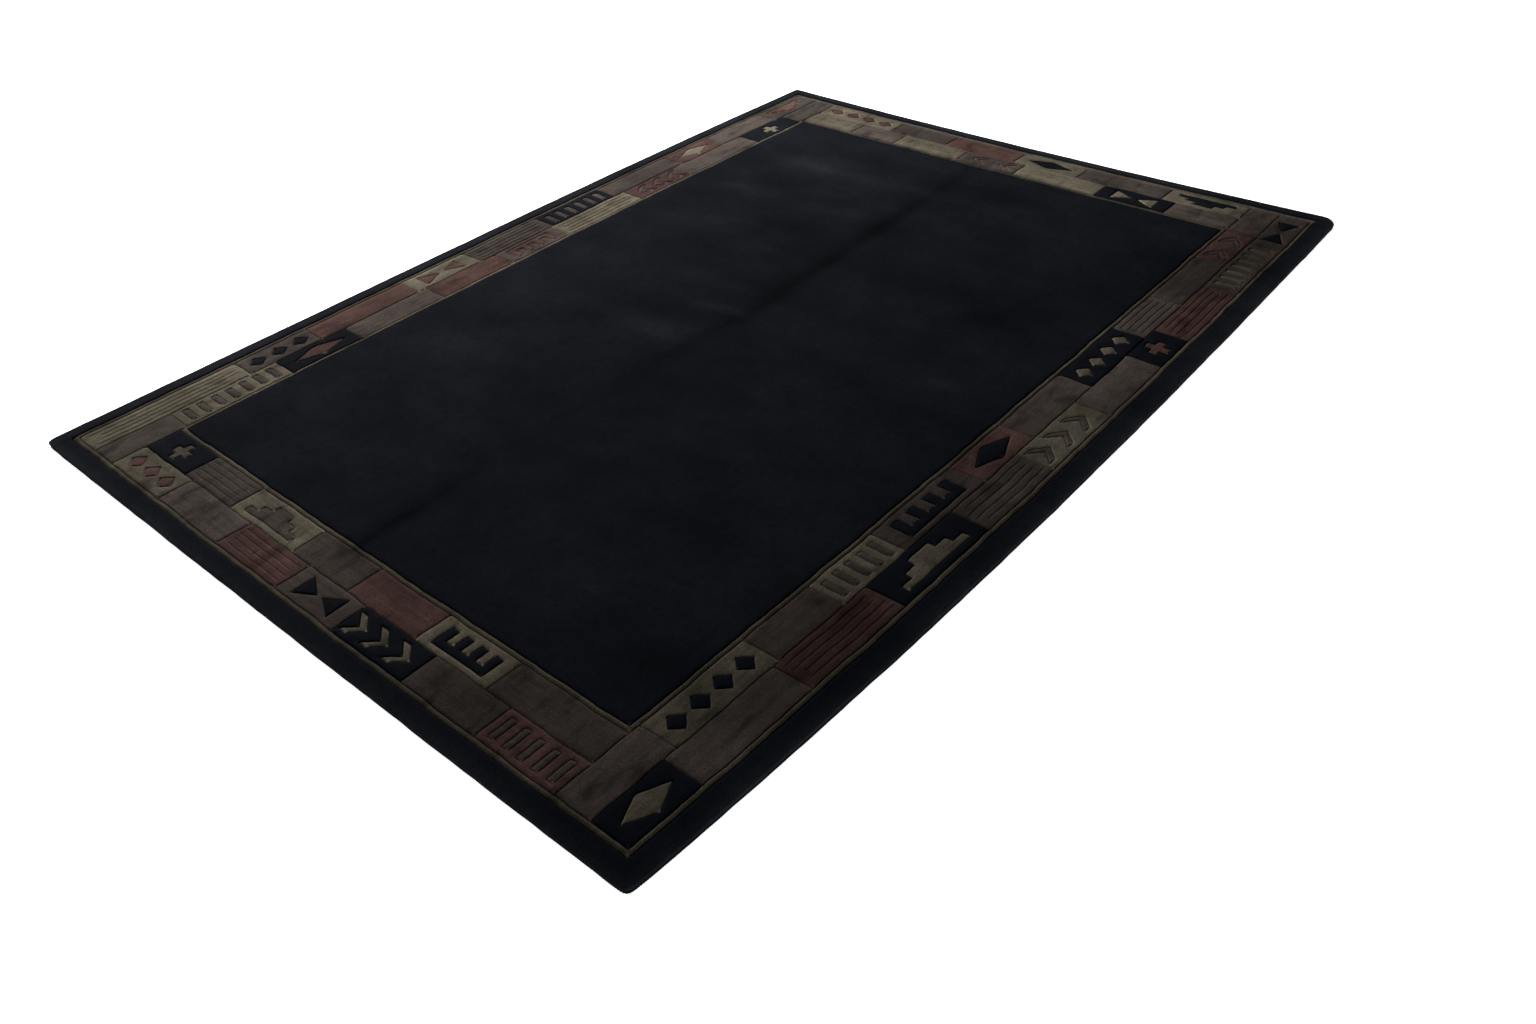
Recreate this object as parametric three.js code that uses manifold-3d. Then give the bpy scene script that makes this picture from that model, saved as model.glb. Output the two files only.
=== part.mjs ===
// A hand-knotted wool rug lying flat, millimetres, +Z up, underside on z = 0.
// It is one piece of knotted cloth: foundation, pile, overcast edge and turned-in ends are all one solid.
// +X runs along the long side and +Y along the short side, from the middle of the underside.
import * as THREE from 'three';
import { mergeVertices } from 'three/addons/utils/BufferGeometryUtils.js';
import Module from 'manifold-3d';

// Driving sizes of the cloth
const LENGTH = 2400;
const WIDTH = 1700;
const THICKNESS = 14;
const CORNER_RADIUS = 44;
// How square each corner is within its radius: 2 is a round corner, and more is squarer
const SQUARENESS = { nearLeft: 7.3, nearRight: 2.2, farLeft: 7.3, farRight: 11.2 };

// Carving: every colour is parted from its neighbour by a groove sheared into the pile.
// The main lines are cut deepest, so a lesser groove runs out into the wall of a deeper one.
const GROOVE_WIDTH = 4.5;
const GROOVE_DEPTHS = { guard: 3.6, row: 3.3, joint: 3.0, motif: 2.9 };
const GROOVE_ABOVE = 1.5;
const GROOVE_STEP = 300;

// Guard line: the narrow line of plain yarn along both edges of the patchwork
const GUARD_WIDTH = 10;
const OUTER_BAND = 39;
const FIELD_BAND = 205;

// Grid lines of the plain cloth: how far in from its edge, and the ones between, from its middle
const RIM_LINES = [0, 7, 17, 30, CORNER_RADIUS];
const GRID_ACROSS = [-600, -420, -260, -130, -40, 10, 40, 70, 130, 260, 420, 600];
const GRID_ALONG = [
  -960, -780, -600, -400, -200, -60, 60, 140, 230, 340, 440, 500, 560, 660, 760, 860, 1000];

// How each woven side bows outward at its fullest: the cloth as far as its middle, and the edge strip.
// skew moves the fullest place towards +X or +Y, or back where it is negative.
const SIDES = {
  near: { span: LENGTH, depth: WIDTH, whole: 9, strip: 18, skew: -0.4 },
  far: { span: LENGTH, depth: WIDTH, whole: 15, strip: -2, skew: 0.65 },
  left: { span: WIDTH, depth: LENGTH, whole: 10, strip: -7, skew: -0.1 },
  right: { span: WIDTH, depth: LENGTH, whole: -3, strip: -16, skew: 0 },
};
const STRIP_REACH = 90;

// The section of the edge, from the underside up: overcast selvedge, the nip above it, then the pile
const EDGE_SECTION = [
  { height: 0, inset: 3.2 },
  { height: 1.9, inset: 0.5 },
  { height: 4.2, inset: 2.4 },
  { height: 6.4, inset: 0.4 },
  { height: 9.6, inset: 0 },
  { height: 12.6, inset: 2.6 },
];
// The pile rounds over on the top too: how far in it reaches its full height, and what it lacks at the edge
const SHOULDER_REACH = 14;
const SHOULDER_DROP = 1.8;

// Old fold lines that show in the pile: one lengthwise, the rest across, as soft troughs and ridges
const CREASES = [
  { x: -880, y: 40, dx: 180, dy: 0, width: 26, rise: -1.4 },
  { x: 330, y: 34, dx: 760, dy: 0, width: 30, rise: -1.8 },
  { x: -60, y: 70, dx: 30, dy: 170, width: 44, rise: 1.1 },
  { x: 60, y: 90, dx: 30, dy: 210, width: 46, rise: 1.3 },
  { x: 140, y: 0, dx: 30, dy: 420, width: 44, rise: -1.2 },
  { x: 340, y: -130, dx: -40, dy: 400, width: 44, rise: -1.3 },
  { x: 440, y: 190, dx: 40, dy: 260, width: 46, rise: 1.2 },
  { x: 560, y: 160, dx: 50, dy: 320, width: 40, rise: -1.2 },
  { x: 760, y: 220, dx: 20, dy: 240, width: 50, rise: 1.2 },
  { x: 860, y: 30, dx: 10, dy: 440, width: 40, rise: -1.3 },
  { x: -620, y: -180, dx: 30, dy: 240, width: 70, rise: -0.8 },
];

// The patchwork border: two rows of blocks between the guard lines, and the motif in each block.
// from and to run anticlockwise along the side in mm from its middle; near and far rows fill the corners.
const BORDER_CHART = `
side   row    from    to  motif
near   outer  -1151 -1010  lozenge
near   outer  -1010  -775  plain
near   outer   -775  -545  reeds
near   outer   -545  -300  steps
near   outer   -300   -85  reeds
near   outer    -85   130  chevrons
near   outer    130   345  plain
near   outer    345   470  cross
near   outer    470   715  reeds
near   outer    715   960  rungs
near   outer    960  1151  hourglass
near   inner  -1151  -985  plain
near   inner   -985  -760  diamonds
near   inner   -760  -600  plain
near   inner   -600  -430  rungs
near   inner   -430  -190  comb
near   inner   -190   -20  lozenge
near   inner    -20   200  plain
near   inner    200   430  diamonds
near   inner    430   600  reeds
near   inner    600   830  plain
near   inner    830  1010  chevrons
near   inner   1010  1151  plain
far    outer  -1151  -960  steps
far    outer   -960  -730  plain
far    outer   -730  -560  lozenge
far    outer   -560  -300  plain
far    outer   -300   -80  rungs
far    outer    -80   160  reeds
far    outer    160   350  hourglass
far    outer    350   620  plain
far    outer    620   800  diamonds
far    outer    800  1151  reeds
far    inner  -1151  -990  plain
far    inner   -990  -800  cross
far    inner   -800  -520  plain
far    inner   -520  -330  chevrons
far    inner   -330   -70  reeds
far    inner    -70   120  comb
far    inner    120   330  plain
far    inner    330   560  plain
far    inner    560   740  lozenge
far    inner    740   990  rungs
far    inner    990  1151  plain
left   outer   -655  -470  diamonds
left   outer   -470  -255  plain
left   outer   -255   -60  reeds
left   outer    -60   110  hourglass
left   outer    110   300  chevrons
left   outer    300   480  plain
left   outer    480   655  rungs
left   inner   -655  -500  cross
left   inner   -500  -330  reeds
left   inner   -330  -120  steps
left   inner   -120    50  plain
left   inner     50   240  plain
left   inner    240   420  comb
left   inner    420   655  plain
right  outer   -655  -450  steps
right  outer   -450  -210  plain
right  outer   -210   -20  lozenge
right  outer    -20   200  reeds
right  outer    200   390  plain
right  outer    390   655  diamonds
right  inner   -655  -490  plain
right  inner   -490  -300  hourglass
right  inner   -300   -60  plain
right  inner    -60   120  chevrons
right  inner    120   330  reeds
right  inner    330   480  plain
right  inner    480   655  plain
`;

// Read a text table into one object for each row, with numbers as numbers
function readTable(text) {
  const [head, ...rows] = text.trim().split('\n').map((line) => line.trim().split(/\s+/));
  return rows.map((cells) => Object.fromEntries(
    head.map((name, i) => [name, Number.isNaN(Number(cells[i])) ? cells[i] : Number(cells[i])])));
}

// Outlines of the motifs, about the middle of a block of length l and width w.
// The finest ones (rungs and reeds) stay uncarved in the solid.
function rowOf(count, pitch, shape) {
  const shifts = Array.from({ length: count }, (_, i) => (i - (count - 1) / 2) * pitch);
  return shifts.map((shift) => shape.map(([u, v]) => [u + shift, v]));
}
const MOTIFS = {
  lozenge: (l, w) => {
    const [a, b] = [0.36 * l, 0.33 * w];
    return [[[a, 0], [0, b], [-a, 0], [0, -b]]];
  },
  cross: (l, w) => {
    const [arm, bar] = [0.34 * w, 0.12 * w];
    return [[[arm, -bar], [arm, bar], [bar, bar], [bar, arm], [-bar, arm], [-bar, bar],
      [-arm, bar], [-arm, -bar], [-bar, -bar], [-bar, -arm], [bar, -arm], [bar, -bar]]];
  },
  hourglass: (l, w) => {
    const [a, waist, b] = [0.3 * l, 0.04 * l, 0.34 * w];
    return [[[-a, b], [-a, -b], [-waist, 0]], [[a, -b], [a, b], [waist, 0]]];
  },
  steps: (l, w) => {
    const [a, b, c] = [0.36 * l, 0.24 * l, 0.12 * l];
    const [base, low, high, top] = [-0.3 * w, -0.1 * w, 0.1 * w, 0.3 * w];
    return [[[a, base], [a, low], [b, low], [b, high], [c, high], [c, top],
      [-c, top], [-c, high], [-b, high], [-b, low], [-a, low], [-a, base]]];
  },
  diamonds: (l, w) => {
    const count = Math.round(l / (0.85 * w));
    const pitch = (0.9 * l) / count;
    const [a, b] = [0.38 * pitch, 0.27 * w];
    return rowOf(count, pitch, [[a, 0], [0, b], [-a, 0], [0, -b]]);
  },
  chevrons: (l, w) => {
    const count = Math.round(l / w);
    const [tip, back, half, thick] = [0.2 * w, -0.2 * w, 0.33 * w, 0.26 * w];
    return rowOf(count, (0.9 * l) / count, [[tip, 0], [back, half], [back - thick, half], [tip - thick, 0],
      [back - thick, -half], [back, -half]]);
  },
  comb: (l, w) => {
    const [teeth, gap] = [4, 0.1 * l];
    const [spine, root, tip] = [-0.32 * w, -0.1 * w, 0.3 * w];
    const end = (teeth - 0.5) * gap;
    const points = [[end, spine], [end, tip]];
    for (let edge = end - gap; edge > gap - end; edge -= 2 * gap) {
      points.push([edge, tip], [edge, root], [edge - gap, root], [edge - gap, tip]);
    }
    return [[...points, [-end, tip], [-end, spine]]];
  },
};

// Rows of blocks by their distance in from the edge, and where each side's rows stop
const ROW_MIDDLE = (OUTER_BAND + FIELD_BAND) / 2;
const ROWS = {
  outer: { start: OUTER_BAND + GUARD_WIDTH, end: ROW_MIDDLE },
  inner: { start: ROW_MIDDLE, end: FIELD_BAND - GUARD_WIDTH },
};
const LONG_RUN = LENGTH / 2 - OUTER_BAND - GUARD_WIDTH;
const SHORT_RUN = WIDTH / 2 - ROWS.inner.end;
const RUN_END = { near: LONG_RUN, far: LONG_RUN, left: SHORT_RUN, right: SHORT_RUN };

// From a place along a side and in from its edge to x and y on the flat, unbowed cloth
const ON_SIDE = {
  near: (along, inset) => [along, inset - WIDTH / 2],
  far: (along, inset) => [-along, WIDTH / 2 - inset],
  left: (along, inset) => [inset - LENGTH / 2, -along],
  right: (along, inset) => [LENGTH / 2 - inset, along],
};

// How far a side is bowed outward, eased to nothing at its ends and in the middle of the cloth
function bowOut({ span, depth, whole, strip, skew }, inset, along) {
  const share = (2 * along) / span;
  const arch = (1 - share ** 2) * (1 + skew * share);
  return arch * (whole * Math.max(0, 1 - (2 * inset) / depth) + strip * Math.exp(-inset / STRIP_REACH));
}

function creaseHeight(x, y) {
  return CREASES.reduce((sum, { x: cx, y: cy, dx, dy, width, rise }) => {
    const reach = Math.hypot(dx, dy);
    const along = ((x - cx) * dx + (y - cy) * dy) / reach ** 2;
    const across = ((x - cx) * dy - (y - cy) * dx) / reach;
    return sum + rise * Math.exp(-((across / width) ** 2)) * Math.exp(-(along ** 4));
  }, 0);
}

// Lay a piece of flat cloth down as it lies on the floor: sides bowed, pile creased, underside flat
function layDown(geometry) {
  const place = geometry.attributes.position;
  for (let i = 0; i < place.count; i += 1) {
    const [x, y, z] = [place.getX(i), place.getY(i), place.getZ(i)];
    const { near, far, left, right } = SIDES;
    const bowedX = x + bowOut(right, LENGTH / 2 - x, y) - bowOut(left, LENGTH / 2 + x, y);
    const bowedY = y + bowOut(far, WIDTH / 2 - y, x) - bowOut(near, WIDTH / 2 + y, x);
    place.setXYZ(i, bowedX, bowedY, z + (z / THICKNESS) * creaseHeight(x, y));
  }
  return geometry;
}

// The plain cloth: a box of grid lines whose rim is turned to the edge section and rounded at the corners
function gridLines(size, inside) {
  const low = RIM_LINES.map((inset) => inset - size / 2);
  return [...low, ...inside, ...low.map((line) => -line).reverse()];
}

function clothBody() {
  const along = gridLines(LENGTH, GRID_ALONG);
  const across = gridLines(WIDTH, GRID_ACROSS);
  const levels = EDGE_SECTION.length - 1;
  const body = new THREE.BoxGeometry(1, 1, 1, along.length - 1, across.length - 1, levels);
  const place = body.attributes.position;
  for (let i = 0; i < place.count; i += 1) {
    const lineX = Math.round((place.getX(i) + 0.5) * (along.length - 1));
    const lineY = Math.round((place.getY(i) + 0.5) * (across.length - 1));
    const level = Math.round((place.getZ(i) + 0.5) * levels);
    const onRim = lineX % (along.length - 1) === 0 || lineY % (across.length - 1) === 0;
    place.setXYZ(i, ...edgePoint(along[lineX], across[lineY], level, onRim));
  }
  return body;
}

function edgePoint(x, y, level, onRim) {
  const section = EDGE_SECTION[level];
  const [middleX, middleY] = [LENGTH / 2 - CORNER_RADIUS, WIDTH / 2 - CORNER_RADIUS];
  const [overX, overY] = [Math.abs(x) - middleX, Math.abs(y) - middleY];
  const over = Math.max(overX, overY);
  const ring = onRim ? CORNER_RADIUS - section.inset : over;
  const height = onRim ? section.height : topOrUnderside(level, CORNER_RADIUS - over);
  if (over <= 0) return [x, y, height];
  if (overX <= 0) return [x, Math.sign(y) * (middleY + ring), height];
  if (overY <= 0) return [Math.sign(x) * (middleX + ring), y, height];
  const turn = (Math.PI / 4) * (Math.min(overX, overY) / over);
  const angle = overX >= overY ? turn : Math.PI / 2 - turn;
  const square = SQUARENESS[(y < 0 ? 'near' : 'far') + (x < 0 ? 'Left' : 'Right')];
  const reach = ring / (Math.cos(angle) ** square + Math.sin(angle) ** square) ** (1 / square);
  return [
    Math.sign(x) * (middleX + reach * Math.cos(angle)),
    Math.sign(y) * (middleY + reach * Math.sin(angle)),
    height];
}

function topOrUnderside(level, inset) {
  if (level === 0) return 0;
  return THICKNESS - SHOULDER_DROP * Math.max(0, 1 - inset / SHOULDER_REACH) ** 2;
}

// A groove: a V-shaped blade swept along a route on the top of the cloth, with mitred turns
function divide(route, closed) {
  const ends = closed ? [...route, route[0]] : route;
  const points = [];
  for (let i = 0; i + 1 < ends.length; i += 1) {
    const [a, b] = [ends[i], ends[i + 1]];
    const steps = Math.ceil(Math.hypot(b[0] - a[0], b[1] - a[1]) / GROOVE_STEP);
    for (let s = 0; s < steps; s += 1) {
      points.push([a[0] + ((b[0] - a[0]) * s) / steps, a[1] + ((b[1] - a[1]) * s) / steps]);
    }
  }
  return closed ? points : [...points, ends.at(-1)];
}

function grooveBlade({ route, closed, kind }) {
  const points = divide(route, closed);
  const count = points.length;
  const depth = GROOVE_DEPTHS[kind];
  const half = (GROOVE_WIDTH / 2) * (1 + GROOVE_ABOVE / depth);
  const position = [];
  points.forEach((point, i) => {
    const before = points[closed ? (i + count - 1) % count : Math.max(0, i - 1)];
    const after = points[closed ? (i + 1) % count : Math.min(count - 1, i + 1)];
    const start = new THREE.Vector2(point[0] - before[0], point[1] - before[1]).normalize();
    const end = new THREE.Vector2(after[0] - point[0], after[1] - point[1]).normalize();
    const way = start.clone().add(end).normalize();
    const leg = end.lengthSq() > 0 ? end : start;
    const side = new THREE.Vector2(-way.y, way.x).multiplyScalar(half / way.dot(leg));
    position.push(point[0] + side.x, point[1] + side.y, THICKNESS + GROOVE_ABOVE);
    position.push(point[0] - side.x, point[1] - side.y, THICKNESS + GROOVE_ABOVE);
    position.push(point[0], point[1], THICKNESS - depth);
  });
  const index = [];
  for (let i = 0; i < (closed ? count : count - 1); i += 1) {
    const [a, b] = [3 * i, 3 * ((i + 1) % count)];
    [[0, 1], [1, 2], [2, 0]].forEach(([p, q]) => index.push(a + p, a + q, b + q, a + p, b + q, b + p));
  }
  if (!closed) index.push(0, 2, 1, 3 * count - 3, 3 * count - 2, 3 * count - 1);
  const blade = new THREE.BufferGeometry();
  blade.setAttribute('position', new THREE.Float32BufferAttribute(position, 3));
  blade.setIndex(index);
  return blade;
}

// The routes of all grooves
function ringAt(inset) {
  const [x, y] = [LENGTH / 2 - inset, WIDTH / 2 - inset];
  return { route: [[-x, -y], [x, -y], [x, y], [-x, y]], closed: true, kind: 'guard' };
}

function straight(kind, side, start, end) {
  return { route: [ON_SIDE[side](...start), ON_SIDE[side](...end)], closed: false, kind };
}

function joint({ side, row }, along) {
  return straight('joint', side, [along, ROWS[row].start], [along, ROWS[row].end]);
}

function motifRoutes({ side, row, from, to, motif }) {
  const { start, end } = ROWS[row];
  const [along, inset] = [(from + to) / 2, (start + end) / 2];
  const outlines = MOTIFS[motif] ? MOTIFS[motif](to - from, end - start) : [];
  return outlines.map((outline) => (
    { route: outline.map(([u, v]) => ON_SIDE[side](along + u, inset + v)), closed: true, kind: 'motif' }));
}

function grooveRoutes() {
  const rings = [OUTER_BAND, OUTER_BAND + GUARD_WIDTH, FIELD_BAND - GUARD_WIDTH, FIELD_BAND].map(ringAt);
  const middles = Object.keys(SIDES).map((side) => (
    straight('row', side, [-RUN_END[side], ROW_MIDDLE], [RUN_END[side], ROW_MIDDLE])));
  const blocks = readTable(BORDER_CHART);
  const ends = blocks.filter(({ to }) => to < LONG_RUN).map((block) => joint(block, block.to));
  const starts = blocks.filter(({ from }) => from === -SHORT_RUN).map((block) => joint(block, block.from));
  return [...rings, ...middles, ...ends, ...starts, ...blocks.flatMap(motifRoutes)];
}

const wasm = await Module();
wasm.setup();

function toSolid(geometry) {
  geometry.deleteAttribute('normal');
  geometry.deleteAttribute('uv');
  const merged = mergeVertices(geometry);
  return new wasm.Manifold(new wasm.Mesh({
    numProp: 3,
    vertProperties: new Float32Array(merged.attributes.position.array),
    triVerts: new Uint32Array(merged.index.array),
  }));
}

function toGeometry(solid) {
  const { vertProperties, triVerts } = solid.getMesh();
  const geometry = new THREE.BufferGeometry();
  geometry.setAttribute('position', new THREE.BufferAttribute(vertProperties, 3));
  geometry.setIndex(new THREE.BufferAttribute(triVerts, 1));
  geometry.computeVertexNormals();
  return geometry;
}

const blades = grooveRoutes().map((groove) => toSolid(layDown(grooveBlade(groove))));
const carved = blades.reduce((cloth, blade) => cloth.subtract(blade), toSolid(layDown(clothBody())));

const geometry = toGeometry(carved);
geometry.computeBoundingBox();
const boxMiddle = geometry.boundingBox.getCenter(new THREE.Vector3());
geometry.translate(-boxMiddle.x, -boxMiddle.y, 0);

const wool = new THREE.MeshStandardMaterial({ color: 0x17181d, roughness: 0.95, metalness: 0 });
const rug = new THREE.Mesh(geometry, wool);
rug.name = 'knotted_rug';

const group = new THREE.Group();
group.add(rug);
export default group;
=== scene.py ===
# %% [markdown]
# # A hand-knotted wool rug, one cell at a time
#
# This lesson dresses a flat knotted rug: a near-black field, a two-row patchwork border whose colours are
# parted by grooves sheared into the pile, and an overcast edge. The measured solid of the rug comes
# first. The rug's sizes are in millimetres, as a weaver would note them, and turn into metres only when a
# mesh is made. The floor and the lamps at the end are in metres.

# %% Load the measured solid
import math

import bpy
import numpy as np
from mathutils import Matrix, Vector, noise
from mathutils.geometry import delaunay_2d_cdt


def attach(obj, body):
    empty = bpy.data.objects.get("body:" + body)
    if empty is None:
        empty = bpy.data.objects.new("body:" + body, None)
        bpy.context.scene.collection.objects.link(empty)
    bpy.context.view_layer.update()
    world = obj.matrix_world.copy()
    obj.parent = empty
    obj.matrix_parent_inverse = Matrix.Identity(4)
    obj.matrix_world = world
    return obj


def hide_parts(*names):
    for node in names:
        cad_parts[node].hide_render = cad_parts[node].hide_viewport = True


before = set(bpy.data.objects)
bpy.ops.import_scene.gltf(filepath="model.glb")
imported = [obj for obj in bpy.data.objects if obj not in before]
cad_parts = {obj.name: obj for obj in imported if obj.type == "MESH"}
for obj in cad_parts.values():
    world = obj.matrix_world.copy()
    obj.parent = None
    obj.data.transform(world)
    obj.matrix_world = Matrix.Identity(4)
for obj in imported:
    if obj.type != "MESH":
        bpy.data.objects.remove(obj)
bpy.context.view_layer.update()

MM = 0.001
RUG = "knotted_rug"

# %% [markdown]
# ## The weaver's measurements
#
# The cloth is woven to a rectangle, and these are its sizes before anything pulls it out of shape. They
# are the same as the solid's. The bands are measured inward from the edge: a plain outer band, a guard
# line, two rows of patchwork, another guard line, and the field.

# %% Sizes of the cloth, in millimetres
LENGTH = 2400
WIDTH = 1700
THICKNESS = 14
CORNER_RADIUS = 44
OUTER_BAND = 39
GUARD_WIDTH = 10
FIELD_BAND = 205
SHOULDER_REACH = 14
SHOULDER_DROP = 1.8
print("field", LENGTH - 2 * FIELD_BAND, "by", WIDTH - 2 * FIELD_BAND, "mm")

# %% [markdown]
# Short tables written as text are easy to read and to change, so one small reader turns each into rows
# with named columns.

# %% Read a table
def read_table(text):
    """One dictionary for each row of a text table, with numbers as numbers."""
    head, *rows = [line.split() for line in text.strip().splitlines()]

    def value(cell):
        try:
            return float(cell)
        except ValueError:
            return cell

    return [{name: value(cell) for name, cell in zip(head, row)} for row in rows]


# %% [markdown]
# A rug of this kind pulls itself a little out of shape: the long sides bow, the near one most, and one
# short side is drawn in. `whole` is how far the cloth moves out at a side's fullest place, fading to
# nothing at the rug's middle. `strip` is the extra move of the edge alone, and `skew` shifts the fullest
# place along the side.

# %% How the sides bow
SIDES = {row["side"]: row for row in read_table("""
side   span  depth  whole  strip  skew
near   2400  1700     9     18    -0.4
far    2400  1700    15     -2     0.65
left   1700  2400    10     -7    -0.1
right  1700  2400    -3    -16     0
""")}
STRIP_REACH = 90
print("most bowed side:", max(SIDES, key=lambda side: SIDES[side]["whole"] + SIDES[side]["strip"]))

# %% [markdown]
# ## Old folds, and painted light and shade on the turned nap
#
# A rug that was once folded keeps soft troughs and ridges. Each is a band with a middle, a half-length
# that points along the fold, and a half-width. `rise` is its height, downward where it is negative.

# %% Old fold lines
CREASES = read_table("""
x     y     dx   dy   width  rise
-880  40    180  0    26     -1.4
330   34    760  0    30     -1.8
-60   70    30   170  44     1.1
60    90    30   210  46     1.3
140   0     30   420  44     -1.2
340   -130  -40  400  44     -1.3
440   190   40   260  46     1.2
560   160   50   320  40     -1.2
760   220   20   240  50     1.2
860   30    10   440  40     -1.3
-620  -180  30   240  70     -0.8
""")
print(len(CREASES), "old fold lines")

# %% [markdown]
# The pile shows more than the shape does. Where its tips lean towards the light it looks paler, and where
# they lean away, darker; these bands paint that light and shade into the pile's colour. They are placed the
# same way as the folds, and `lift` is the share of brightness that each adds. The painted sheen streaks
# come
# first: pale painted highlights on the marks of hands and on the folds' crests.

# %% Painted sheen streaks in the field
PAINTED_SHEEN_STREAKS = read_table("""
x     y     dx   dy    width  lift
746   397   0    160   36     0.78
534   429   0    105   32     0.62
557   185   -14  95    28     0.58
781   85    0    66    24     0.48
6     83    -18  80    15     0.80
-142  137   -16  108   36     0.56
280   232   -14  62    24     0.45
37    504   -33  92    40     0.34
-181  443   -36  116   46     0.30
-475  485   -36  92    60     0.32
31    -497  -15  68    20     0.34
-549  -47   -15  68    14     0.22
329   456   -20  88    34     0.42
-747  -207  -6   60    40     0.20
-805  -353  -7   60    44     0.22
592   -334  -17  90    60     0.16
719   235   -11  90    70     0.18
-217  -250  -22  90    60     0.14
-123  638   -36  110   90     0.16
""")
print(len(PAINTED_SHEEN_STREAKS), "pale streaks")

# %% [markdown]
# Then the shadows: the hollows between the streaks, and the two long fold lines, where the tips part.

# %% Shadows in the field
NAP_SHADOWS = read_table("""
x     y     dx   dy    width  lift
425   250   0    110   46     -0.42
304   -409  -8   52    24     -0.25
-80   246   -17  96    40     -0.36
-935  36    75   0     9      -0.55
-840  38    90   10    30     -0.26
-929  183   -25  0     30     -0.15
-701  -280  -7   80    30     -0.18
303   -435  -33  80    50     -0.16
868   -158  -6   90    50     -0.16
626   436   -5   90    50     -0.28
-515  -434  -38  90    50     -0.14
380   30    560  22    16     -0.30
-60   30    200  -22   15     -0.22
""")
print(len(NAP_SHADOWS), "shadows")

# %% [markdown]
# Last, broad painted light and shade over parts of the field and of the border, and the narrow strips along
# the guard lines and the rims, painted lighter or darker as they catch the light or lose it by the way they
# face.

# %% Broad painted light and shade, guard lines and rims
FIELD_PAINTED_LIGHT_AND_SHADE = read_table("""
x     y     dx   dy    width  lift
830   40    0    800   170    0.22
400   -400  0    240   180    -0.22
-400  0     180  0     140    -0.20
300   0     600  0     130    -0.11
200   90    700  0     220    -0.07
-800  0     0    160   140    -0.10
800   0     0    110   110    -0.16
800   400   0    220   160    0.15
0     500   150  0     120    0.15
""")
BORDER_PAINTED_LIGHT_AND_SHADE = read_table("""
x     y     dx   dy    width  lift
860   -740  300  0     120    -0.52
-560  -740  560  0     120    -0.34
1090  150   0    150   100    -0.12
1090  500   0    200   100    -0.18
-1090 -480  0    200   100    -0.18
-1090 160   0    330   100    0.10
60    740   1000 0     120    -0.08
1090  -480  0    180   90     0.15
""")
GUARD_AND_RIM_LIGHT_AND_SHADE = read_table("""
x     y     dx   dy    width  lift
1180  -330  0    660   28     0.90
0     830   1600 0     26     0.60
900   -830  600  0     26     0.38
0     845   1700 0     9      -1.30
1195  0     0    1200  9      -1.10
1179  0     0    800   8      0.60
0     814   1700 0     6      -0.80
1166  0     0    1200  6      -0.70
1156  0     0    900   7      0.35
1000  0     0    700   7      -0.45
0     652   1000 0     7      0.70
-1000 0     0    640   6      0.35
""")
PAINTED_LIGHT_AND_SHADE_BANDS = PAINTED_SHEEN_STREAKS + NAP_SHADOWS + FIELD_PAINTED_LIGHT_AND_SHADE + BORDER_PAINTED_LIGHT_AND_SHADE + GUARD_AND_RIM_LIGHT_AND_SHADE
print(len(PAINTED_LIGHT_AND_SHADE_BANDS), "patches of nap in all")

# %% [markdown]
# ## The camera
#
# The camera comes before the rug, because it decides which details will show. It looks down on the rug
# from past its near left corner, with a slight tilt to one side. Its place and its three angles were
# worked out from the rug's own corners and border lines, so the same rug lands on the same pixels.
# Turning about the camera's own axes in order (heading, then tilt, then roll) keeps the three angles easy
# to read.

# %% Camera
PICTURE_WIDTH = 1536
SENSOR_WIDTH = 36
FOCAL_PIXELS = 1214.35
CAMERA_PLACE = Vector((-1731.0, -1640.5, 1351.0))
HEADING, TILT, ROLL = math.radians(-46.91), math.radians(51.71), math.radians(-3.93)

camera = bpy.data.objects.new("camera", bpy.data.cameras.new("camera"))
bpy.context.scene.collection.objects.link(camera)
camera.data.sensor_width = SENSOR_WIDTH
camera.data.lens = SENSOR_WIDTH * FOCAL_PIXELS / PICTURE_WIDTH
camera.data.clip_end = 100
bpy.context.scene.camera = camera
print("lens", round(camera.data.lens, 2), "mm")

# %% [markdown]
# ## The border chart
#
# A weaver knots a border from a chart. This one lists every block of the patchwork: the side and row it
# sits in, where it starts and ends along that side from the side's middle, its ground yarn, and the motif
# knotted on it. The motifs are plain geometry that rugs have always used: lozenges, crosses, steps,
# combs, chevrons. Going anticlockwise round the rug with one rule for all four sides keeps each motif
# upright on its own side.

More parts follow.
